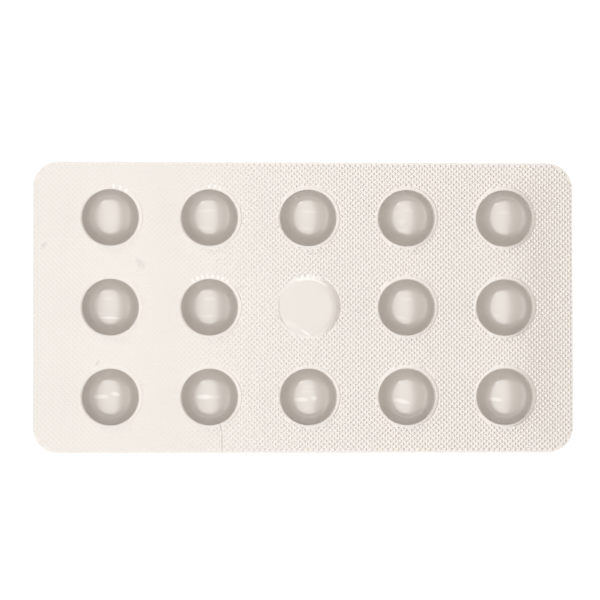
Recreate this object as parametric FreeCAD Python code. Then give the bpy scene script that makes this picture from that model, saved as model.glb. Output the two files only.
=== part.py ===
import FreeCAD, Part
import math
import os

# A sealed push-through pack for small round tablets, in millimetres.
# The card lies foil side down on Z = 0, its long side runs along X, and the
# origin is the middle of its underside. Pockets rise towards +Z.

# Card: a formed plastic film sealed to a push-through foil
card_length = 94.3
card_width = 50.6
corner_radius = 4.5
film_thickness = 0.25
foil_thickness = 0.03

# Sites for tablets, in columns along X and rows along Y
columns = 5
rows = 3
column_pitch = 17.2
row_pitch = 15.6
grid_shift = 0.65  # the sites sit this far towards +X of the card's middle
empty_column = 2  # this site was never formed and holds no tablet
empty_row = 1

# Pocket: drafted wall, round shoulder, sloping crown and a small flat top
base_radius = 4.85
pocket_height = 3.5
wall_draft = 26.0  # degrees from upright
shoulder_radius = 1.9
crown_slope = 18.0  # degrees from level
top_radius = 1.5

# Empty site: the film there bulges a little and has buckled at its lower left
bulge_radius = 5.4
bulge_slope = 0.6
bulge_height = 0.12
buckle_length = 6.0
buckle_width = 0.5
buckle_height = 0.07
buckle_distance = 4.25  # from the site's middle to the buckle's middle
buckle_bearing = 247.0  # degrees from +X, the way from the site to the buckle

# Crack in the film, from a pocket's foot to the card's front edge
crack_column = 1
crack_row = 0
crack_bearing = 291.0  # degrees from +X, where the crack leaves the pocket
crack_kink = (0.45, 1.4)  # along X, and towards the edge, from the crack's tip
crack_width = 0.2
crack_depth = 0.2

card_thickness = film_thickness + foil_thickness


def point(radius, height):
    """A point of a profile that is turned about the Z axis."""
    return FreeCAD.Vector(radius, 0, height)


def polar(radius, degrees):
    """A point in the XY plane."""
    angle = math.radians(degrees)
    return FreeCAD.Vector(radius * math.cos(angle), radius * math.sin(angle), 0)


def bearing(degrees):
    """A direction in a profile, from level outwards to upright."""
    angle = math.radians(degrees)
    return point(math.cos(angle), math.sin(angle))


def turned(edges):
    """The solid that a closed profile makes when it is turned about the Z axis."""
    face = Part.Face(Part.Wire(edges))
    return face.revolve(FreeCAD.Vector(0, 0, 0), FreeCAD.Vector(0, 0, 1), 360)


def lines(points):
    """Straight edges from each point to the next."""
    return [Part.LineSegment(a, b).toShape() for a, b in zip(points, points[1:])]


def site(column, row):
    """The middle of a site on the card's underside."""
    x = grid_shift + (column - (columns - 1) / 2) * column_pitch
    y = (row - (rows - 1) / 2) * row_pitch
    return FreeCAD.Vector(x, y, 0)


def card_blank():
    """The flat die-cut card with its round corners."""
    slab = Part.makeBox(
        card_length,
        card_width,
        card_thickness,
        FreeCAD.Vector(-card_length / 2, -card_width / 2, 0),
    )
    upright = [edge for edge in slab.Edges if abs(edge.tangentAt(edge.FirstParameter).z) > 0.9]
    return slab.makeFillet(corner_radius, upright)


def pocket():
    """One filled pocket, from the card's underside up."""
    base = point(base_radius, card_thickness)
    top_edge = point(top_radius, card_thickness + pocket_height)
    wall = bearing(90 + wall_draft)
    crown = bearing(-crown_slope)

    # The wall and the crown would meet at a corner, which the shoulder rounds
    # off as an arc that touches both.
    across = top_edge - base
    wall_length = (across.x * crown.z - across.z * crown.x) / (wall.x * crown.z - wall.z * crown.x)
    corner = base + wall * wall_length
    half_turn = math.radians(90 - wall_draft - crown_slope) / 2
    setback = shoulder_radius * math.tan(half_turn)
    shoulder_start = corner - wall * setback
    shoulder_end = corner - crown * setback
    outwards = bearing((90 + wall_draft - crown_slope) / 2)
    cut_off = shoulder_radius / math.cos(half_turn) - shoulder_radius
    shoulder = Part.Arc(shoulder_start, corner - outwards * cut_off, shoulder_end).toShape()

    profile = lines([point(0, 0), point(base.x, 0), base, shoulder_start])
    profile.append(shoulder)
    profile += lines([shoulder_end, top_edge, point(0, top_edge.z), point(0, 0)])
    return turned(profile)


def buckle():
    """The sharp fold that stands up along a chord of the empty site."""
    # A spindle with its axis sunk so far that only the fold's height shows.
    radius = (buckle_width**2 / 4 + buckle_height**2) / (2 * buckle_height)
    sunk = radius - buckle_height
    half = buckle_length / 2
    along = [
        FreeCAD.Vector(-half, 0, 0),
        FreeCAD.Vector(0, radius, 0),
        FreeCAD.Vector(half, 0, 0),
    ]
    outline = [Part.Arc(*along).toShape(), Part.LineSegment(along[2], along[0]).toShape()]
    face = Part.Face(Part.Wire(outline))
    spindle = face.revolve(FreeCAD.Vector(0, 0, 0), FreeCAD.Vector(1, 0, 0), 360)
    spindle.rotate(FreeCAD.Vector(0, 0, 0), FreeCAD.Vector(0, 0, 1), buckle_bearing - 90)
    place = polar(buckle_distance, buckle_bearing)
    place.z = card_thickness - sunk
    spindle.translate(place)
    above = Part.makeCylinder(bulge_radius, card_thickness + buckle_height)
    return spindle.common(above)


def empty_site():
    """The bulged film of the site that was never formed, with its buckle."""
    top = card_thickness + bulge_height
    outline = [
        point(0, 0),
        point(bulge_radius, 0),
        point(bulge_radius, card_thickness),
        point(bulge_radius - bulge_slope, top),
        point(0, top),
        point(0, 0),
    ]
    return turned(lines(outline)).fuse(buckle())


def crack():
    """The wedge of film that is missing along the crack, sharp at its tip."""
    tip = site(crack_column, crack_row) + polar(base_radius, crack_bearing)
    kink = tip + FreeCAD.Vector(crack_kink[0], -crack_kink[1], 0)
    mouth_y = -card_width / 2 - crack_width
    half = FreeCAD.Vector(crack_width / 2, 0, 0)
    mouth = FreeCAD.Vector(kink.x, mouth_y, 0)
    outline = [tip, kink - half, mouth - half, mouth + half, kink + half, tip]
    face = Part.Face(Part.Wire(lines(outline)))
    face.translate(FreeCAD.Vector(0, 0, card_thickness - crack_depth))
    return face.extrude(FreeCAD.Vector(0, 0, crack_depth))


def blister_pack():
    """The sealed pack as one solid."""
    raised = []
    for row in range(rows):
        for column in range(columns):
            form = empty_site() if (column, row) == (empty_column, empty_row) else pocket()
            raised.append(form.translated(site(column, row)))
    return card_blank().fuse(raised).cut(crack()).removeSplitter()


pack = blister_pack()
os.makedirs("parts", exist_ok=True)
pack.exportStep("parts/blister_pack.step")
box = pack.BoundBox
print("valid", pack.isValid(), "solids", len(pack.Solids), "faces", len(pack.Faces))
print("box", round(box.XLength, 3), round(box.YLength, 3), round(box.ZLength, 3))
print("volume", round(pack.Volume, 2), "mm3")
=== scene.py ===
import math

import bmesh
import bpy
from mathutils import Matrix, Vector
from mathutils.geometry import delaunay_2d_cdt


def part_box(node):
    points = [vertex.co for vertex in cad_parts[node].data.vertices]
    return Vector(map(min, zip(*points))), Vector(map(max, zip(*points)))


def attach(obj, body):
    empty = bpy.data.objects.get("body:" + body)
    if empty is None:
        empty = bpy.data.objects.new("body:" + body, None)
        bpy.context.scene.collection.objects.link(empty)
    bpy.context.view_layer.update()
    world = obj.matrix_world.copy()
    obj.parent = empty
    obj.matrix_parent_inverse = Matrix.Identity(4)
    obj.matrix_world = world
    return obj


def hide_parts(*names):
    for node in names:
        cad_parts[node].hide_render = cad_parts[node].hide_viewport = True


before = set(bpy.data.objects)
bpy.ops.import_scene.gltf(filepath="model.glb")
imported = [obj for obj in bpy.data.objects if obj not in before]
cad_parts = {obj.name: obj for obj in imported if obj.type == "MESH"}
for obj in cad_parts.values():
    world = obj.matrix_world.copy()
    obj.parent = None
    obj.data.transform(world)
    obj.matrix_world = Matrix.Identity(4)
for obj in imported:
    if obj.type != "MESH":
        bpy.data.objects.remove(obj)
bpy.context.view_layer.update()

# Sizes in metres. The card's outline and its height come from the frame. The
# rest are the sizes that the solid was made with, and those of the finer
# forms that it leaves out.
MM = 0.001
card_low, card_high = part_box("blister_pack")
CARD_LENGTH = card_high.x - card_low.x
CARD_WIDTH = card_high.y - card_low.y
POCKET_TOP = card_high.z
CORNER_RADIUS = 4.5 * MM

# Heights above the table. The knurl's print stands down from the foil's flat
# underside to the table.
FOIL_UNDERSIDE = 0.02 * MM
FOIL_TOP = 0.05 * MM
FIELD_LEVEL = 0.22 * MM
RING_LEVEL = 0.28 * MM

# Sites for tablets
COLUMNS = 5
ROWS = 3
COLUMN_PITCH = 17.2 * MM
ROW_PITCH = 15.6 * MM
GRID_SHIFT = 0.65 * MM
EMPTY_SITE = (2, 1)

# Pocket
BASE_RADIUS = 4.85 * MM
WALL_DRAFT = math.radians(26)
FOOT_FILLET = 0.35 * MM
SHOULDER_RADIUS = 1.9 * MM
CROWN_SLOPE = math.radians(18)
FLAT_TOP_RADIUS = 1.5 * MM

# Smooth ring round each pocket, where the sealing tool is relieved. It slopes
# up to the pocket's foot. The tool met the film a little off the pockets'
# middles.
RING_SHIFT = Vector((0.2, 0.08)) * MM
RING_RADIUS = 5.33 * MM
RING_BEVEL = 0.2 * MM
RING_SLOPE = 0.1
FOOT_RADIUS = 5.07 * MM
SITE_RADIUS = RING_RADIUS + RING_BEVEL

# Knurl of the sealing tool: pyramids with flat tops, in lines at 45 degrees
# to the card's edges. Their feet are sunk a little into the sheet.
KNURL_PITCH = 0.66 * MM
KNURL_HEIGHT = 0.035 * MM
KNURL_SINK = 0.01 * MM
KNURL_FLAT = 0.09 * MM
KNURL_FILL = 0.98  # a pyramid's side, as a share of the pitch
KNURL_MARGIN = 0.35 * MM

# Empty site: a low bulge, a buckle along its lower left, and a raised lip at
# the back. The buckle's ends are measured from the site's middle. It rises
# slowly from its first end and stops short at its second, over the shares of
# its length in BUCKLE_RISE and BUCKLE_STOP.
BULGE_HEIGHT = 0.12 * MM
BULGE_INNER = 3.8 * MM
BUCKLE_HEIGHT = 0.07 * MM
BUCKLE_WIDTH = 0.22 * MM
BUCKLE_ENDS = ((-4.53 * MM, -2.40 * MM), (0.89 * MM, -5.19 * MM))
BUCKLE_RISE = (-0.05, 0.35)
BUCKLE_STOP = (0.9, 1.08)
LIP_HEIGHT = 0.035 * MM
LIP_WIDTH = 0.22 * MM
LIP_RADIUS = 4.95 * MM
LIP_BEARING = math.radians(82)
LIP_SPREAD = math.radians(38)

# Crack from a pocket's foot to the front edge
CRACK_SITE = (1, 0)
CRACK_BEARING = math.radians(291)
CRACK_KINK = (0.45 * MM, 1.4 * MM)
CRACK_WIDTH = 0.2 * MM
CRACK_CLEARANCE = 0.33 * MM
CRACK_FLOOR = 0.08 * MM

# Foil over each pocket's mouth: a smooth disc, sunk a little
DISH_DEPTH = 0.07 * MM
DISH_RADIUS = 5.2 * MM

# Steps that the round forms are made in
ROUND_SEGMENTS = 64
CORNER_SEGMENTS = 14
BEVEL_STEPS = 4
FILLET_STEPS = 6
SHOULDER_STEPS = 9
CROWN_STEPS = 10
DISC_STEPS = 26
SHARP_ANGLE = math.radians(32)


def smoothstep(low, high, value):
    """0 below low, 1 above high, and a smooth rise between them."""
    share = min(max((value - low) / (high - low), 0.0), 1.0)
    return share * share * (3 - 2 * share)


def direction(angle):
    """A step of length 1 across the card, at an angle from +X."""
    return Vector((math.cos(angle), math.sin(angle)))


def site(column, row):
    """The middle of a site, seen from above."""
    x = GRID_SHIFT + (column - (COLUMNS - 1) / 2) * COLUMN_PITCH
    y = (row - (ROWS - 1) / 2) * ROW_PITCH
    return Vector((x, y))


def all_sites():
    """Every site as its column, its row and its middle."""
    return [(column, row, site(column, row)) for row in range(ROWS) for column in range(COLUMNS)]


def circle(middle, radius):
    """Points round a site, on a circle that shifts with the ring outside the foot."""
    share = min(max((radius - FOOT_RADIUS) / (RING_RADIUS - FOOT_RADIUS), 0.0), 1.0)
    centre = middle + share * RING_SHIFT
    angles = [2 * math.pi * i / ROUND_SEGMENTS for i in range(ROUND_SEGMENTS)]
    return [centre + radius * direction(angle) for angle in angles]


def card_outline():
    """The die-cut outline, anticlockwise, with round corners."""
    points = []
    half_x = CARD_LENGTH / 2 - CORNER_RADIUS
    half_y = CARD_WIDTH / 2 - CORNER_RADIUS
    corners = [(half_x, half_y), (-half_x, half_y), (-half_x, -half_y), (half_x, -half_y)]
    for quarter, corner in enumerate(corners):
        for i in range(CORNER_SEGMENTS + 1):
            angle = (quarter + i / CORNER_SEGMENTS) * math.pi / 2
            points.append(Vector(corner) + CORNER_RADIUS * direction(angle))
    return points


def flat_sheet(mesh, level, upwards):
    """The flat of the card between its outline and the round sites."""
    loops = [card_outline()] + [circle(middle, SITE_RADIUS) for _, _, middle in all_sites()]
    points = [point for loop in loops for point in loop]
    edges = []
    start = 0
    for loop in loops:
        count = len(loop)
        edges += [(start + i, start + (i + 1) % count) for i in range(count)]
        start += count
    flat_points, _, triangles, _, _, _ = delaunay_2d_cdt(points, edges, [], 1, 1e-9)
    corners = [mesh.verts.new((point.x, point.y, level)) for point in flat_points]
    for triangle in triangles:
        middle = sum((flat_points[i] for i in triangle), Vector((0, 0))) / 3 - RING_SHIFT
        if any((middle - place).length < SITE_RADIUS * 0.999 for _, _, place in all_sites()):
            continue
        order = triangle if upwards else reversed(triangle)
        mesh.faces.new([corners[i] for i in order])


def turned_site(mesh, middle, profile, upwards, lift=None):
    """A profile of radii and heights, turned about the middle of a site.

    The profile runs from the site's edge inwards and ends on its axis. lift
    adds a height that depends on the place, for a form that isn't round.
    """
    rings = []
    for radius, height in profile[:-1]:
        ring = []
        for point in circle(middle, radius):
            local = point - middle
            extra = lift(local.x, local.y) if lift else 0.0
            ring.append(mesh.verts.new((point.x, point.y, height + extra)))
        rings.append(ring)
    extra = lift(0.0, 0.0) if lift else 0.0
    pole = mesh.verts.new((middle.x, middle.y, profile[-1][1] + extra))
    for outer, inner in zip(rings, rings[1:]):
        for i in range(ROUND_SEGMENTS):
            j = (i + 1) % ROUND_SEGMENTS
            quad = [outer[i], outer[j], inner[j], inner[i]]
            mesh.faces.new(quad if upwards else reversed(quad))
    for i in range(ROUND_SEGMENTS):
        j = (i + 1) % ROUND_SEGMENTS
        fan = [rings[-1][i], rings[-1][j], pole]
        mesh.faces.new(fan if upwards else reversed(fan))


def edge_wall(mesh, low, high):
    """The card's cut edge between two levels."""
    outline = card_outline()
    bottom = [mesh.verts.new((point.x, point.y, low)) for point in outline]
    top = [mesh.verts.new((point.x, point.y, high)) for point in outline]
    for i in range(len(outline)):
        j = (i + 1) % len(outline)
        mesh.faces.new([bottom[i], bottom[j], top[j], top[i]])


def arc(centre, radius, start, end, steps):
    """Points of an arc in a profile, its first point left out."""
    points = []
    for i in range(1, steps + 1):
        angle = start + (end - start) * i / steps
        across = centre[0] + radius * math.cos(angle)
        height = centre[1] + radius * math.sin(angle)
        points.append((across, height))
    return points


def ring_profile():
    """From the knurled field up a low step and a gentle slope to the foot."""
    step_top = RING_LEVEL - RING_SLOPE * (RING_RADIUS - FOOT_RADIUS)
    points = []
    for i in range(BEVEL_STEPS + 1):
        share = i / BEVEL_STEPS
        height = FIELD_LEVEL + (step_top - FIELD_LEVEL) * smoothstep(0, 1, share)
        points.append((SITE_RADIUS - RING_BEVEL * share, height))
    for share in (0.35, 0.7):
        height = step_top + (RING_LEVEL - step_top) * share
        points.append((RING_RADIUS - (RING_RADIUS - FOOT_RADIUS) * share, height))
    return points


def pocket_profile():
    """The outside of a filled pocket, from its smooth ring to its middle."""
    profile = ring_profile()

    # Foot: a fillet that touches the ring and the wall
    wall_slope = math.pi / 2 - WALL_DRAFT
    setback = FOOT_FILLET * math.tan(wall_slope / 2)
    foot_start = (BASE_RADIUS + setback, RING_LEVEL)
    profile.append(foot_start)
    centre = (foot_start[0], RING_LEVEL + FOOT_FILLET)
    profile += arc(centre, FOOT_FILLET, -math.pi / 2, -math.pi / 2 - wall_slope, FILLET_STEPS)

    # Shoulder: an arc that touches the wall and the crown's edge, as in the solid
    crown_drop = math.tan(CROWN_SLOPE)
    draft = math.tan(WALL_DRAFT)
    height = POCKET_TOP - RING_LEVEL
    run = BASE_RADIUS - FLAT_TOP_RADIUS
    corner_height = (height - run * crown_drop) / (1 - draft * crown_drop)
    corner = (BASE_RADIUS - corner_height * draft, RING_LEVEL + corner_height)
    setback = SHOULDER_RADIUS * math.tan((wall_slope - CROWN_SLOPE) / 2)
    start = (
        corner[0] + setback * math.sin(WALL_DRAFT),
        corner[1] - setback * math.cos(WALL_DRAFT),
    )
    wall_foot = profile[-1]
    for share in (1 / 3, 2 / 3):
        profile.append(tuple(a + (b - a) * share for a, b in zip(wall_foot, start)))
    profile.append(start)
    centre = (
        start[0] - SHOULDER_RADIUS * math.cos(WALL_DRAFT),
        start[1] - SHOULDER_RADIUS * math.sin(WALL_DRAFT),
    )
    crown_start = math.pi / 2 - CROWN_SLOPE
    profile += arc(centre, SHOULDER_RADIUS, WALL_DRAFT, crown_start, SHOULDER_STEPS)

    # Crown: steepest where it leaves the shoulder and level in the middle
    edge_radius, edge_height = profile[-1]
    rise = POCKET_TOP - edge_height
    power = edge_radius * crown_drop / rise
    for i in range(1, CROWN_STEPS + 1):
        share = 1 - i / CROWN_STEPS
        profile.append((edge_radius * share, edge_height + rise * (1 - share**power)))
    return profile


def empty_profile():
    """The smooth disc of the site that was never formed, before its bulge."""
    shares = [1 - i / DISC_STEPS for i in range(DISC_STEPS + 1)]
    return ring_profile() + [(FOOT_RADIUS * share, RING_LEVEL) for share in shares]


def along_buckle(x, y):
    """How far a place is along the buckle, as a share, and beside it."""
    (x1, y1), (x2, y2) = BUCKLE_ENDS
    length = math.hypot(x2 - x1, y2 - y1)
    ux = (x2 - x1) / length
    uy = (y2 - y1) / length
    along = ((x - x1) * ux + (y - y1) * uy) / length
    beside = (x - x1) * -uy + (y - y1) * ux
    return along, beside


def bulge(x, y):
    """Height of the empty site's bulge, its raised lip and its buckle."""
    from_ring = math.hypot(x - RING_SHIFT.x, y - RING_SHIFT.y)
    height = BULGE_HEIGHT * (1 - smoothstep(BULGE_INNER, SITE_RADIUS, from_ring))
    radius = math.hypot(x, y)

    turn = abs((math.atan2(y, x) - LIP_BEARING + math.pi) % (2 * math.pi) - math.pi)
    lip = math.exp(-(((radius - LIP_RADIUS) / LIP_WIDTH) ** 2))
    height += LIP_HEIGHT * lip * (1 - smoothstep(LIP_SPREAD * 0.5, LIP_SPREAD, turn))

    along, beside = along_buckle(x, y)
    ends = smoothstep(*BUCKLE_RISE, along) * (1 - smoothstep(*BUCKLE_STOP, along))
    inside = 1 - smoothstep(RING_RADIUS - 0.4 * MM, RING_RADIUS, radius)
    fold = math.exp(-((beside / BUCKLE_WIDTH) ** 2))
    return height + BUCKLE_HEIGHT * fold * ends * inside


def dish_profile(level):
    """The mouth of a site in the foil, sunk a little towards the tablet."""
    profile = [(SITE_RADIUS, level)]
    for share in (1, 0.85, 0.65, 0.4, 0):
        sunk = DISH_DEPTH * (1 - smoothstep(0.35, 1, share))
        profile.append((DISH_RADIUS * share, level + sunk))
    return profile


def welded(mesh, name):
    """An object of the finished mesh, closed along its seams."""
    bmesh.ops.remove_doubles(mesh, verts=mesh.verts, dist=1e-8)
    bmesh.ops.recalc_face_normals(mesh, faces=mesh.faces)
    data = bpy.data.meshes.new(name)
    mesh.to_mesh(data)
    mesh.free()
    piece = bpy.data.objects.new(name, data)
    bpy.context.scene.collection.objects.link(piece)
    return piece


def crack_line():
    """The crack's tip, its kink and its mouth at the card's edge."""
    tip = site(*CRACK_SITE) + BASE_RADIUS * direction(CRACK_BEARING)
    kink = tip + Vector((CRACK_KINK[0], -CRACK_KINK[1]))
    mouth = Vector((kink.x, -CARD_WIDTH / 2 - CRACK_WIDTH))
    return tip, kink, mouth


def crack_cutter():
    """The wedge that the crack takes out of the film, almost down to the foil."""
    tip, kink, mouth = crack_line()
    half = Vector((CRACK_WIDTH / 2, 0))
    outline = [tip, kink - half, mouth - half, mouth + half, kink + half]
    mesh = bmesh.new()
    low = [mesh.verts.new((point.x, point.y, CRACK_FLOOR)) for point in outline]
    high = [mesh.verts.new((point.x, point.y, RING_LEVEL + 1 * MM)) for point in outline]
    mesh.faces.new(high)
    mesh.faces.new(reversed(low))
    for i in range(len(outline)):
        j = (i + 1) % len(outline)
        mesh.faces.new([low[i], low[j], high[j], high[i]])
    return welded(mesh, "crack_cutter")


def smoothed(piece):
    """Shades a piece smooth, except at its real edges."""
    piece.data.shade_smooth()
    piece.data.set_sharp_from_angle(angle=SHARP_ANGLE)


def as_plain_mesh(piece):
    """Turns what the piece's modifiers make into its own mesh."""
    evaluated = piece.evaluated_get(bpy.context.evaluated_depsgraph_get())
    data = bpy.data.meshes.new_from_object(evaluated)
    piece.modifiers.clear()
    piece.data = data


def cut_crack(piece):
    """Cuts the crack's wedge out of the film."""
    cutter = crack_cutter()
    cut = piece.modifiers.new("crack", "BOOLEAN")
    cut.operation = "DIFFERENCE"
    cut.solver = "EXACT"
    cut.object = cutter
    as_plain_mesh(piece)
    bpy.data.objects.remove(cutter)


# Node trees


class Nodes:
    """Short ways to add and join the nodes of a tree."""

    def __init__(self, tree):
        self.tree = tree

    def socket(self, name, kind, default=None, output=False):
        made = self.tree.interface.new_socket(
            name=name, in_out="OUTPUT" if output else "INPUT", socket_type=kind
        )
        if default is not None:
            made.default_value = default

    def node(self, kind, inputs=None, **settings):
        made = self.tree.nodes.new(kind)
        for name, value in settings.items():
            setattr(made, name, value)
        for name, value in (inputs or {}).items():
            self.feed(made.inputs[name], value)
        return made

    def feed(self, socket, value):
        if isinstance(value, bpy.types.NodeSocket):
            self.tree.links.new(value, socket)
        else:
            socket.default_value = value

    def math(self, operation, first, second=0.0, clamp=False):
        made = self.node("ShaderNodeMath", {0: first, 1: second}, operation=operation)
        made.use_clamp = clamp
        return made.outputs[0]


def nearest_site(tree, along, pitch, count, shift):
    """Distance along one axis from the nearest row or column of sites."""
    from_middle = tree.math("SUBTRACT", along, shift)
    index = tree.math("ROUND", tree.math("DIVIDE", from_middle, pitch))
    last = tree.math("DIVIDE", tree.math("SUBTRACT", count, 1.0), 2.0)
    index = tree.math("MINIMUM", index, last)
    index = tree.math("MAXIMUM", index, tree.math("MULTIPLY", last, -1.0))
    return tree.math("SUBTRACT", from_middle, tree.math("MULTIPLY", index, pitch))


def knurl_tree():
    """A tree that adds a knurled field to a sheet, clear of sites, edge and crack.

    Small pyramids stand side by side in slanting rows.
    """
    tree = Nodes(bpy.data.node_groups.new("knurl", "GeometryNodeTree"))
    tree.socket("Geometry", "NodeSocketGeometry", output=True)
    tree.socket("Geometry", "NodeSocketGeometry")
    sizes = {
        "Pitch": KNURL_PITCH,
        "Height": KNURL_HEIGHT,
        "Flat": KNURL_FLAT,
        "Level": FIELD_LEVEL,
        "Turn": 0.0,
        "Length": CARD_LENGTH,
        "Width": CARD_WIDTH,
        "Corner": CORNER_RADIUS,
        "Margin": KNURL_MARGIN,
        "Column Pitch": COLUMN_PITCH,
        "Row Pitch": ROW_PITCH,
        "Columns": float(COLUMNS),
        "Rows": float(ROWS),
        "Column Shift": GRID_SHIFT + RING_SHIFT.x,
        "Row Shift": RING_SHIFT.y,
        "Site Radius": SITE_RADIUS,
        "Crack Clearance": CRACK_CLEARANCE,
    }
    for name, value in sizes.items():
        tree.socket(name, "NodeSocketFloat", value)
    for name in ("Crack Tip", "Crack Kink", "Crack Mouth"):
        tree.socket(name, "NodeSocketVector")
    tree.socket("Material", "NodeSocketMaterial")
    given = tree.node("NodeGroupInput").outputs

    # A square grid wide enough for the card when it is turned by 45 degrees
    span = tree.math("ADD", given["Length"], given["Width"])
    cells = tree.math("CEIL", tree.math("DIVIDE", span, given["Pitch"]))
    side = tree.math("MULTIPLY", cells, given["Pitch"])
    count = tree.math("ADD", cells, 1.0)
    grid = tree.node(
        "GeometryNodeMeshGrid",
        {"Size X": side, "Size Y": side, "Vertices X": count, "Vertices Y": count},
    )
    place = tree.node("ShaderNodeCombineXYZ", {"Z": given["Level"]})
    slanted = tree.node(
        "GeometryNodeTransform",
        {
            "Geometry": grid.outputs["Mesh"],
            "Translation": place.outputs[0],
            "Rotation": (0, 0, math.radians(45)),
        },
    )
    here = tree.node("GeometryNodeInputPosition").outputs[0]
    parts = tree.node("ShaderNodeSeparateXYZ", {0: here}).outputs
    x, y = parts[0], parts[1]

    # Outside the card's outline, with its round corners
    inner = tree.math("ADD", given["Corner"], given["Margin"])
    over = []
    for along, size in ((x, given["Length"]), (y, given["Width"])):
        half = tree.math("SUBTRACT", tree.math("MULTIPLY", size, 0.5), inner)
        beyond = tree.math("SUBTRACT", tree.math("ABSOLUTE", along), half)
        over.append(tree.math("MAXIMUM", beyond, 0.0))
    corner = tree.node("ShaderNodeCombineXYZ", {"X": over[0], "Y": over[1]})
    past = tree.node("ShaderNodeVectorMath", {0: corner.outputs[0]}, operation="LENGTH")
    outside = tree.math("GREATER_THAN", past.outputs["Value"], given["Corner"])

    # On a site or its ring
    off_x = nearest_site(tree, x, given["Column Pitch"], given["Columns"], given["Column Shift"])
    off_y = nearest_site(tree, y, given["Row Pitch"], given["Rows"], given["Row Shift"])
    local = tree.node("ShaderNodeCombineXYZ", {"X": off_x, "Y": off_y})
    radius = tree.node("ShaderNodeVectorMath", {0: local.outputs[0]}, operation="LENGTH")
    on_site = tree.math("LESS_THAN", radius.outputs["Value"], given["Site Radius"])

    # Beside the crack
    halves = []
    for start, end in (("Crack Tip", "Crack Kink"), ("Crack Kink", "Crack Mouth")):
        line = tree.node(
            "GeometryNodeCurvePrimitiveLine", {"Start": given[start], "End": given[end]}
        )
        halves.append(tree.node("GeometryNodeCurveToMesh", {"Curve": line.outputs[0]}))
    lines = tree.node("GeometryNodeJoinGeometry")
    for half in halves:
        tree.feed(lines.inputs[0], half.outputs[0])
    near = tree.node(
        "GeometryNodeProximity", {"Geometry": lines.outputs[0]}, target_element="EDGES"
    )
    cracked = tree.math("LESS_THAN", near.outputs["Distance"], given["Crack Clearance"])

    bare = tree.math("MAXIMUM", tree.math("MAXIMUM", outside, on_site), cracked)
    kept = tree.node(
        "GeometryNodeDeleteGeometry", {"Geometry": slanted.outputs[0], "Selection": bare}
    )

    # One pyramid, its corners along X and Y, with a small flat on top
    to_corner = tree.math("MULTIPLY", given["Pitch"], KNURL_FILL * math.sqrt(0.5))
    pyramid = tree.node(
        "GeometryNodeMeshCone",
        {
            "Vertices": 4,
            "Radius Top": given["Flat"],
            "Radius Bottom": to_corner,
            "Depth": given["Height"],
        },
    )
    facets = tree.node(
        "GeometryNodeSetShadeSmooth", {0: pyramid.outputs["Mesh"], "Shade Smooth": False}
    )
    turn = tree.node("ShaderNodeCombineXYZ", {"X": given["Turn"]})
    field = tree.node(
        "GeometryNodeInstanceOnPoints",
        {"Points": kept.outputs[0], "Instance": facets.outputs[0], "Rotation": turn.outputs[0]},
    )
    both = tree.node("GeometryNodeJoinGeometry")
    tree.feed(both.inputs[0], field.outputs[0])
    tree.feed(both.inputs[0], given["Geometry"])
    real = tree.node("GeometryNodeRealizeInstances", {"Geometry": both.outputs[0]})
    painted = tree.node(
        "GeometryNodeSetMaterial", {"Geometry": real.outputs[0], "Material": given["Material"]}
    )
    result = tree.node("NodeGroupOutput")
    tree.feed(result.inputs[0], painted.outputs[0])
    return tree.tree


def knurl(piece, group, material, sizes):
    """Puts the knurl on a piece and makes it part of the piece's mesh."""
    tip, kink, mouth = crack_line()
    values = dict(sizes, Material=material)
    for name, point in (("Crack Tip", tip), ("Crack Kink", kink), ("Crack Mouth", mouth)):
        values[name] = (point.x, point.y, sizes["Level"])
    modifier = piece.modifiers.new("knurl", "NODES")
    modifier.node_group = group
    for item in group.interface.items_tree:
        if item.in_out == "INPUT" and item.name in values:
            modifier[item.identifier] = values[item.name]
    as_plain_mesh(piece)
    piece.data.polygons.foreach_set("material_index", [0] * len(piece.data.polygons))
    piece.data.materials.clear()
    piece.data.materials.append(material)


# Materials


class Finish(Nodes):
    """The nodes of a material or a shader group, with ranges and mixes."""

    def range(self, value, low, high, out_low=0.0, out_high=1.0, smooth=True):
        made = self.node(
            "ShaderNodeMapRange",
            {0: value, 1: low, 2: high, 3: out_low, 4: out_high},
            interpolation_type="SMOOTHSTEP" if smooth else "LINEAR",
        )
        return made.outputs[0]

    def mix(self, share, first, second):
        made = self.node("ShaderNodeMix", data_type="RGBA")
        self.feed(made.inputs["Factor"], share)
        self.feed(made.inputs[6], first)
        self.feed(made.inputs[7], second)
        return made.outputs[2]


def new_material(name):
    """A material with an empty tree, and its Principled shader joined up."""
    material = bpy.data.materials.new(name)
    material.use_nodes = True
    material.node_tree.nodes.clear()
    finish = Finish(material.node_tree)
    shader = finish.node("ShaderNodeBsdfPrincipled")
    output = finish.node("ShaderNodeOutputMaterial")
    finish.feed(output.inputs[0], shader.outputs[0])
    return material, finish, shader


def rolled_grain():
    """A group: fine grain and slow unevenness of a calendered sheet."""
    finish = Finish(bpy.data.node_groups.new("rolled_grain", "ShaderNodeTree"))
    for name, default in (("Grain Scale", 3000.0), ("Cloud Scale", 60.0)):
        finish.socket(name, "NodeSocketFloat", default)
    for name in ("Grain", "Clouds"):
        finish.socket(name, "NodeSocketFloat", output=True)
    given = finish.node("NodeGroupInput").outputs
    place = finish.node("ShaderNodeTexCoord").outputs["Object"]
    grain = finish.node(
        "ShaderNodeTexNoise", {"Vector": place, "Scale": given["Grain Scale"], "Detail": 3.0}
    )
    clouds = finish.node(
        "ShaderNodeTexNoise", {"Vector": place, "Scale": given["Cloud Scale"], "Detail": 2.0}
    )
    result = finish.node("NodeGroupOutput")
    finish.feed(result.inputs["Grain"], grain.outputs[0])
    finish.feed(result.inputs["Clouds"], clouds.outputs[0])
    return finish.tree


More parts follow.
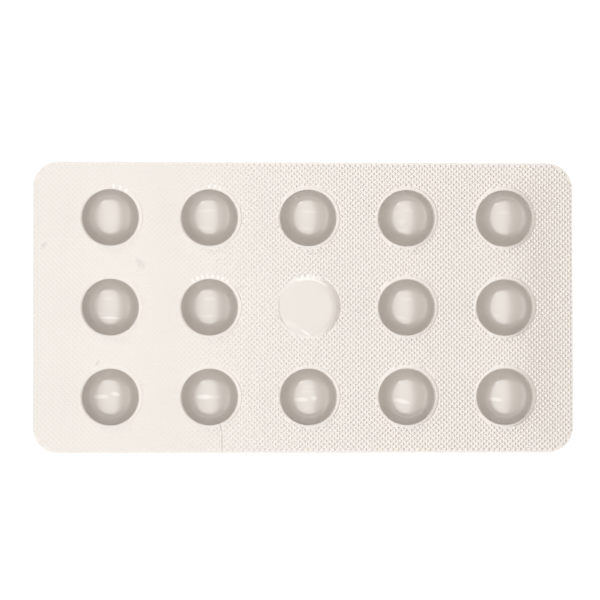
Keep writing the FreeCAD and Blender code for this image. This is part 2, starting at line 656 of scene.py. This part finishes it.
def grain_of(finish, group, scales):
    """The grain group placed in a material, as its two outputs."""
    placed = finish.node("ShaderNodeGroup", node_tree=group)
    for name, scale in zip(("Grain Scale", "Cloud Scale"), scales):
        placed.inputs[name].default_value = scale
    return placed.outputs["Grain"], placed.outputs["Clouds"]


# Scales of the fine grain and of the slow clouds in both sheets
FILM_GRAIN = (2600.0, 45.0)
FOIL_GRAIN = (1800.0, 70.0)
CLOUD_RANGE = (0.35, 0.65)

# Film: formed over the pockets, and sealed to the foil between them. The
# empty site's disc is between the two.
FILM_COLOUR = (0.62, 0.56, 0.50, 1)
# Painted shade on the pockets' shoulders and walls
WALL_SHADE_COLOUR = (0.56, 0.50, 0.445, 1)
SEALED_COLOUR = (0.66, 0.60, 0.54, 1)
CLOUD_CHANGE = 0.02
# Radii from a site's middle over which the painted wall shade comes in
WALL_SHADE_FROM = 3.2 * MM
WALL_SHADE_TO = 4.4 * MM
UNFORMED_SHARE = 0.38
FORMED_ROUGHNESS = 0.38
SEALED_ROUGHNESS = 0.16
FORMED_COAT = 0.72
FILM_IOR = 1.7
COAT_IOR = 1.7
COAT_ROUGHNESS = 0.23
FILM_BUMP = {"Strength": 0.25, "Distance": 0.004 * MM}

# Foil: its two shades, and the rolling lines along X
FOIL_DARK = (0.80, 0.80, 0.81, 1)
FOIL_PALE = (0.86, 0.86, 0.87, 1)
FOIL_ROUGHNESS = (0.33, 0.36)
ROLLING_SCALE = (12.0, 2600.0, 1.0)
ROLLING_RANGE = (0.35, 0.65)
FOIL_BUMP = {"Strength": 0.12, "Distance": 0.003 * MM}

# Marks, as the place of their middle, half their length and half their width
# in millimetres, and their turn in degrees. Faint grey smudges and the painted
# shade along the crack are placed from the card's middle.
SMUDGES = (
    (-28.5, 7.6, 1.6, 0.8, 125),
    (-36.0, -9.71, 0.9, 0.4, 60),
    (-10.85, 3.52, 0.8, 0.5, 20),
    (-45.25, 10.76, 1.1, 0.6, 50),
    (-28.25, -13.53, 0.6, 0.3, 10),
)
SMUDGE_COLOUR = (0.36, 0.32, 0.28, 1)
SMUDGE_STRENGTH = 0.3
# Painted shade along the crack, in two ovals
CRACK_SHADE_MARKS = (
    (-14.58, -20.85, 1.0, 0.2, 107),
    (-14.36, -23.5, 2.7, 0.2, 90),
)
# Colour and strength of the painted shade along the crack
CRACK_SHADE_COLOUR = (0.40, 0.32, 0.25, 1)
CRACK_SHADE_STRENGTH = 0.7

# Painted highlights, as column, row and then the mark from the site's middle:
# faint ones over the tablets' rims and on the buckle's soft end, and brighter
# ones on the front row's tops, on one pocket behind it and on the buckle's
# sharp end
HIGHLIGHT_COLOUR = (0.90, 0.86, 0.80, 1)
FAINT_HIGHLIGHTS = (
    (1, 2, -0.53, 1.0, 2.1, 0.4, 2),
    (1, 2, -0.97, -1.96, 2.1, 0.4, -4),
    (2, 2, -0.11, 0.91, 2.1, 0.4, -2),
    (2, 2, -0.81, -2.0, 2.0, 0.4, -3),
    (3, 2, -2.1, 0.66, 0.7, 0.4, 40),
    (3, 2, 0.13, 1.19, 1.3, 0.4, -10),
    (3, 2, -0.91, -2.3, 1.2, 0.4, 0),
    (3, 2, -1.09, -0.84, 0.8, 0.7, 0),
    (4, 2, -0.33, 0.84, 1.5, 0.4, 0),
    (0, 1, -0.5, 1.4, 1.2, 0.4, 0),
    (0, 1, -1.6, -1.2, 0.9, 0.4, -20),
    (1, 1, -0.09, 1.39, 1.7, 0.4, -2),
    (1, 1, -0.44, -1.62, 1.9, 0.4, 0),
    (3, 1, -0.1, 1.3, 1.6, 0.35, 0),
    (3, 1, -1.2, -1.9, 1.6, 0.35, -16),
    (4, 1, -1.6, -1.5, 1.2, 0.35, -12),
    (1, 0, 1.2, 0.0, 1.2, 0.35, 0),
    (2, 0, -0.2, 0.9, 1.9, 0.3, 0),
    (2, 0, -0.2, 1.7, 1.7, 0.3, 0),
    (2, 1, -3.1, -3.0, 2.2, 0.9, -27),
)
# Strength of the faint painted highlights
FAINT_HIGHLIGHT_STRENGTH = 0.15
BRIGHT_HIGHLIGHTS = (
    (0, 1, -0.16, -1.93, 2.3, 0.35, -2),
    (0, 0, -1.64, 0.08, 1.7, 0.55, 2),
    (0, 0, 0.89, 0.5, 1.1, 0.5, -8),
    (1, 0, -0.97, 0.0, 2.0, 0.6, 0),
    (2, 0, -1.4, -0.45, 1.6, 0.55, 0),
    (2, 0, 0.76, -0.25, 0.7, 0.55, 0),
    (3, 0, -1.2, -0.77, 2.0, 0.55, -13),
    (4, 0, -2.0, -0.44, 1.7, 0.5, -6),
    (2, 1, -0.45, -4.4, 1.5, 0.35, -33),
)
# Strength of the brighter painted highlights and of the painted highlights in rows
BRIGHT_HIGHLIGHT_STRENGTH = 0.48

# Painted highlights in a row round a site, given as the brighter ones are:
# column, row, radius, first and last bearing, number, half length, half width,
# and their turn from the bearing. The first rows are painted glints where the
# knurl meets some rings, and the last row is a painted highlight on the empty site's lip.
HIGHLIGHT_ROWS = (
    (1, 1, 5.45, 55, 122, 8, 0.5, 0.3, 0),
    (2, 1, 5.5, 68, 112, 5, 0.45, 0.3, 0),
    (0, 2, 5.45, 60, 84, 3, 0.5, 0.3, 0),
    (1, 2, 5.45, 70, 90, 3, 0.5, 0.3, 0),
    (2, 1, 4.95, 52, 106, 8, 0.8, 0.32, 90),
)


def spots(finish, place, marks):
    """Where soft-edged oval marks lie, as a share."""
    total = 0.0
    for x, y, length, width, turn in marks:
        local = finish.node(
            "ShaderNodeMapping",
            {
                "Vector": place,
                "Location": (x * MM, y * MM, 0),
                "Rotation": (0, 0, math.radians(turn)),
                "Scale": (length * MM, width * MM, 1),
            },
            vector_type="TEXTURE",
        )
        far = finish.node("ShaderNodeVectorMath", {0: local.outputs[0]}, operation="LENGTH")
        spot = finish.range(far.outputs["Value"], 0.3, 1.0, 1.0, 0.0)
        total = finish.math("ADD", total, spot, clamp=True)
    return total


def on_sites(marks):
    """Marks given from the middle of a site, as places on the card."""
    placed = []
    for column, row, x, y, length, width, turn in marks:
        middle = site(column, row) / MM
        placed.append((middle.x + x, middle.y + y, length, width, turn))
    return placed


def rows_of_highlights():
    """The painted highlights that stand in rows round some sites."""
    marks = []
    for column, row, radius, first, last, count, length, width, turn in HIGHLIGHT_ROWS:
        for i in range(count):
            degrees = first + (last - first) * i / (count - 1)
            bearing = math.radians(degrees)
            x = radius * math.cos(bearing)
            y = radius * math.sin(bearing)
            marks.append((column, row, x, y, length, width, degrees + turn))
    return on_sites(marks)


def film_material(grain_group):
    """Warm white opaque film with a glossy coat, smoother where it is sealed."""
    material, finish, shader = new_material("white_film")
    place = finish.node("ShaderNodeTexCoord").outputs["Object"]
    parts = finish.node("ShaderNodeSeparateXYZ", {0: place}).outputs
    flat = finish.node("ShaderNodeCombineXYZ", {"X": parts[0], "Y": parts[1]}).outputs[0]
    grain, clouds = grain_of(finish, grain_group, FILM_GRAIN)
    paler = tuple(value * (1 + CLOUD_CHANGE) for value in FILM_COLOUR[:3]) + (1,)
    darker = tuple(value * (1 - CLOUD_CHANGE) for value in FILM_COLOUR[:3]) + (1,)
    colour = finish.mix(finish.range(clouds, *CLOUD_RANGE), darker, paler)

    # The film is palest where it is sealed to the bright foil. From the pockets'
    # shoulders down their walls it is painted darker, as painted shade
    off_x = nearest_site(finish, parts[0], COLUMN_PITCH, float(COLUMNS), GRID_SHIFT)
    off_y = nearest_site(finish, parts[1], ROW_PITCH, float(ROWS), 0.0)
    local = finish.node("ShaderNodeCombineXYZ", {"X": off_x, "Y": off_y})
    far = finish.node("ShaderNodeVectorMath", {0: local.outputs[0]}, operation="LENGTH")
    # Painted shade: darker from the shoulders down the pockets' walls
    wall_shade = finish.range(far.outputs["Value"], WALL_SHADE_FROM, WALL_SHADE_TO)
    colour = finish.mix(wall_shade, colour, WALL_SHADE_COLOUR)
    sealed = finish.range(far.outputs["Value"], BASE_RADIUS, FOOT_RADIUS)
    middle = site(*EMPTY_SITE)
    off_empty = finish.node(
        "ShaderNodeVectorMath", {0: flat, 1: (middle.x, middle.y, 0)}, operation="DISTANCE"
    )
    unformed = finish.math("LESS_THAN", off_empty.outputs["Value"], SITE_RADIUS)
    colour = finish.mix(unformed, colour, FILM_COLOUR)
    sealed = finish.math("MAXIMUM", sealed, finish.math("MULTIPLY", unformed, UNFORMED_SHARE))
    colour = finish.mix(sealed, colour, SEALED_COLOUR)

    # Painted highlights, real smudges, and painted shade along the crack
    faint_highlight = spots(finish, flat, on_sites(FAINT_HIGHLIGHTS))
    colour = finish.mix(finish.math("MULTIPLY", faint_highlight, FAINT_HIGHLIGHT_STRENGTH), colour, HIGHLIGHT_COLOUR)
    bright_highlight = spots(finish, flat, on_sites(BRIGHT_HIGHLIGHTS) + rows_of_highlights())
    colour = finish.mix(finish.math("MULTIPLY", bright_highlight, BRIGHT_HIGHLIGHT_STRENGTH), colour, HIGHLIGHT_COLOUR)
    broken = finish.node(
        "ShaderNodeTexNoise", {"Vector": place, "Scale": FILM_GRAIN[0], "Detail": 2.0}
    )
    patchy = finish.range(broken.outputs[0], 0.3, 0.6, 0.4, 1.0)
    soiled = finish.math("MULTIPLY", spots(finish, flat, SMUDGES), patchy)
    colour = finish.mix(finish.math("MULTIPLY", soiled, SMUDGE_STRENGTH), colour, SMUDGE_COLOUR)
    # Painted shade along the crack, a dark warm grey
    shade_in_crack = finish.math("MULTIPLY", spots(finish, flat, CRACK_SHADE_MARKS), CRACK_SHADE_STRENGTH)
    colour = finish.mix(shade_in_crack, colour, CRACK_SHADE_COLOUR)
    finish.feed(shader.inputs["Base Color"], colour)

    # The sealing tool has left the sealed film smoother
    rough = finish.range(sealed, 0.0, 1.0, FORMED_ROUGHNESS, SEALED_ROUGHNESS, smooth=False)
    finish.feed(shader.inputs["Roughness"], rough)
    shader.inputs["IOR"].default_value = FILM_IOR
    coated = finish.range(sealed, 0.0, 1.0, FORMED_COAT, 1.0, smooth=False)
    finish.feed(shader.inputs["Coat Weight"], coated)
    shader.inputs["Coat Roughness"].default_value = COAT_ROUGHNESS
    shader.inputs["Coat IOR"].default_value = COAT_IOR
    bump = finish.node("ShaderNodeBump", {"Height": grain, **FILM_BUMP})
    finish.feed(shader.inputs["Normal"], bump.outputs[0])
    return material


def foil_material(grain_group):
    """Bare rolled aluminium foil, satin, with its rolling lines along X."""
    material, finish, shader = new_material("rolled_foil")
    grain, clouds = grain_of(finish, grain_group, FOIL_GRAIN)
    place = finish.node("ShaderNodeTexCoord").outputs["Object"]
    drawn = finish.node("ShaderNodeMapping", {"Vector": place, "Scale": ROLLING_SCALE})
    lines = finish.node(
        "ShaderNodeTexNoise", {"Vector": drawn.outputs[0], "Scale": 1.0, "Detail": 3.0}
    )
    shade = finish.mix(finish.range(clouds, *CLOUD_RANGE), FOIL_DARK, FOIL_PALE)
    finish.feed(shader.inputs["Base Color"], shade)
    shader.inputs["Metallic"].default_value = 1.0
    rough = finish.range(lines.outputs[0], *ROLLING_RANGE, *FOIL_ROUGHNESS)
    finish.feed(shader.inputs["Roughness"], rough)
    relief = finish.math("ADD", lines.outputs[0], finish.math("MULTIPLY", grain, 0.5))
    bump = finish.node("ShaderNodeBump", {"Height": relief, **FOIL_BUMP})
    finish.feed(shader.inputs["Normal"], bump.outputs[0])
    return material


# Pieces


def formed_film(group, material):
    """The film with its pockets, rings, empty site, crack and knurl."""
    mesh = bmesh.new()
    flat_sheet(mesh, FIELD_LEVEL, upwards=True)
    pocket = pocket_profile()
    for column, row, middle in all_sites():
        if (column, row) == EMPTY_SITE:
            turned_site(mesh, middle, empty_profile(), True, bulge)
        else:
            turned_site(mesh, middle, pocket, True)
        turned_site(mesh, middle, dish_profile(FOIL_TOP), False)
    edge_wall(mesh, FOIL_TOP, FIELD_LEVEL)
    flat_sheet(mesh, FOIL_TOP, upwards=False)
    piece = welded(mesh, "formed_film")
    cut_crack(piece)
    smoothed(piece)
    sizes = {"Level": FIELD_LEVEL - KNURL_SINK, "Height": KNURL_HEIGHT + KNURL_SINK}
    knurl(piece, group, material, sizes)
    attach(piece, "root")
    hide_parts("blister_pack")


def lidding_foil(group, material):
    """The foil under the card, with the knurl's print between its mouths."""
    mesh = bmesh.new()
    flat_sheet(mesh, FOIL_TOP, upwards=True)
    flat_sheet(mesh, FOIL_UNDERSIDE, upwards=False)
    for _, _, middle in all_sites():
        turned_site(mesh, middle, dish_profile(FOIL_TOP), True)
        turned_site(mesh, middle, dish_profile(FOIL_UNDERSIDE), False)
    edge_wall(mesh, FOIL_UNDERSIDE, FOIL_TOP)
    piece = welded(mesh, "lidding_foil")
    smoothed(piece)
    sunk = FOIL_UNDERSIDE + KNURL_SINK
    sizes = {"Level": sunk, "Height": sunk, "Turn": math.pi, "Crack Clearance": 0.0}
    knurl(piece, group, material, sizes)
    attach(piece, "root")


# Stage, lamps and camera

# Table: its colour, and its own white from near the pack to far from it
TABLE_SIZE = 12.0
TABLE_DROP = 0.02 * MM
TABLE_COLOUR = (0.5, 0.5, 0.5, 1)
NEAR_TABLE = 0.1
FAR_TABLE = 0.6
NEAR_WHITE = 0.62
FAR_WHITE = 1.0

# Camera: its place and axes fit the card's outline in the photograph
CAMERA_PLACE = Vector((-44.64, -18.27, 598.01)) * MM
CAMERA_LOOK = Vector((0.0732, 0.0326, -0.9968))
CAMERA_UP = Vector((-0.0011, 0.9995, 0.0326))
CAMERA_LENS = 206.5
SENSOR_WIDTH = 36.0


def table_top():
    """A plain white table that keeps the pack's shadow."""
    half = TABLE_SIZE / 2
    corners = [(-half, -half, 0), (half, -half, 0), (half, half, 0), (-half, half, 0)]
    data = bpy.data.meshes.new("table_top")
    data.from_pydata(corners, [], [(0, 1, 2, 3)])
    table = bpy.data.objects.new("table_top", data)
    bpy.context.scene.collection.objects.link(table)
    table.location.z = -TABLE_DROP

    material = bpy.data.materials.new("white_table")
    material.use_nodes = True
    material.node_tree.nodes.clear()
    finish = Finish(material.node_tree)
    matt = finish.node("ShaderNodeBsdfDiffuse", {"Color": TABLE_COLOUR})

    # It looks white all the way out, also where the lamps don't reach it
    place = finish.node("ShaderNodeTexCoord").outputs["Object"]
    far = finish.node("ShaderNodeVectorMath", {0: place}, operation="LENGTH").outputs["Value"]
    strength = finish.range(far, NEAR_TABLE, FAR_TABLE, NEAR_WHITE, FAR_WHITE)
    path = finish.node("ShaderNodeLightPath").outputs
    seen = finish.math("ADD", path["Is Camera Ray"], path["Is Glossy Ray"], clamp=True)
    seen = finish.math("ADD", seen, path["Is Transmission Ray"], clamp=True)
    glow = finish.node("ShaderNodeEmission", {"Color": (1, 1, 1, 1)})
    finish.feed(glow.inputs["Strength"], finish.math("MULTIPLY", seen, strength))
    both = finish.node("ShaderNodeAddShader")
    finish.feed(both.inputs[0], matt.outputs[0])
    finish.feed(both.inputs[1], glow.outputs[0])
    output = finish.node("ShaderNodeOutputMaterial")
    finish.feed(output.inputs["Surface"], both.outputs[0])
    data.materials.append(material)


def pointed(place, look, up):
    """A turned frame at a place, whose -Z looks along look and +Y is towards up."""
    back = -look.normalized()
    side = up.cross(back).normalized()
    turned = Matrix((side, back.cross(side), back)).transposed().to_4x4()
    turned.translation = place
    return turned


# Lamps, as name, place, size across and from front to back, and watts. The
# first two are one overhead lamp that is dimmer at its left end.
LAMPS = (
    ("overhead", (0.0065, 0.0, 0.55), (0.303, 1.30), 3.42),
    ("overhead_left", (-0.2285, 0.0, 0.55), (0.167, 1.30), 1.5),
    ("right_fill", (0.60, 0.0, 0.22), (0.30, 0.80), 0.9),
    ("back", (-0.25, 0.55, 0.50), (0.10, 0.10), 0.5),
)
SKY_STRENGTH = 0.03


def lamps():
    """Soft rectangular lamps that all look at the pack."""
    for name, place, size, watts in LAMPS:
        data = bpy.data.lights.new(name, "AREA")
        data.shape = "RECTANGLE"
        data.size, data.size_y = size
        data.energy = watts
        lamp = bpy.data.objects.new(name, data)
        bpy.context.scene.collection.objects.link(lamp)
        place = Vector(place)
        lamp.matrix_world = pointed(place, -place, Vector((0, 1, 0)))


def surroundings():
    """Plain pale light from all round."""
    world = bpy.data.worlds.new("room")
    bpy.context.scene.world = world
    world.use_nodes = True
    sky = world.node_tree.nodes["Background"]
    sky.inputs["Color"].default_value = (1, 1, 1, 1)
    sky.inputs["Strength"].default_value = SKY_STRENGTH


def camera():
    """The photograph's view, from above the left of the pack."""
    data = bpy.data.cameras.new("camera")
    data.lens = CAMERA_LENS
    data.sensor_width = SENSOR_WIDTH
    data.clip_start = 0.01
    data.clip_end = 20.0
    made = bpy.data.objects.new("camera", data)
    bpy.context.scene.collection.objects.link(made)
    made.matrix_world = pointed(CAMERA_PLACE, CAMERA_LOOK, CAMERA_UP)
    bpy.context.scene.camera = made


grain_group = rolled_grain()
knurl_group = knurl_tree()
formed_film(knurl_group, film_material(grain_group))
lidding_foil(knurl_group, foil_material(grain_group))
table_top()
lamps()
surroundings()
camera()
bpy.context.scene.view_settings.view_transform = "Standard"
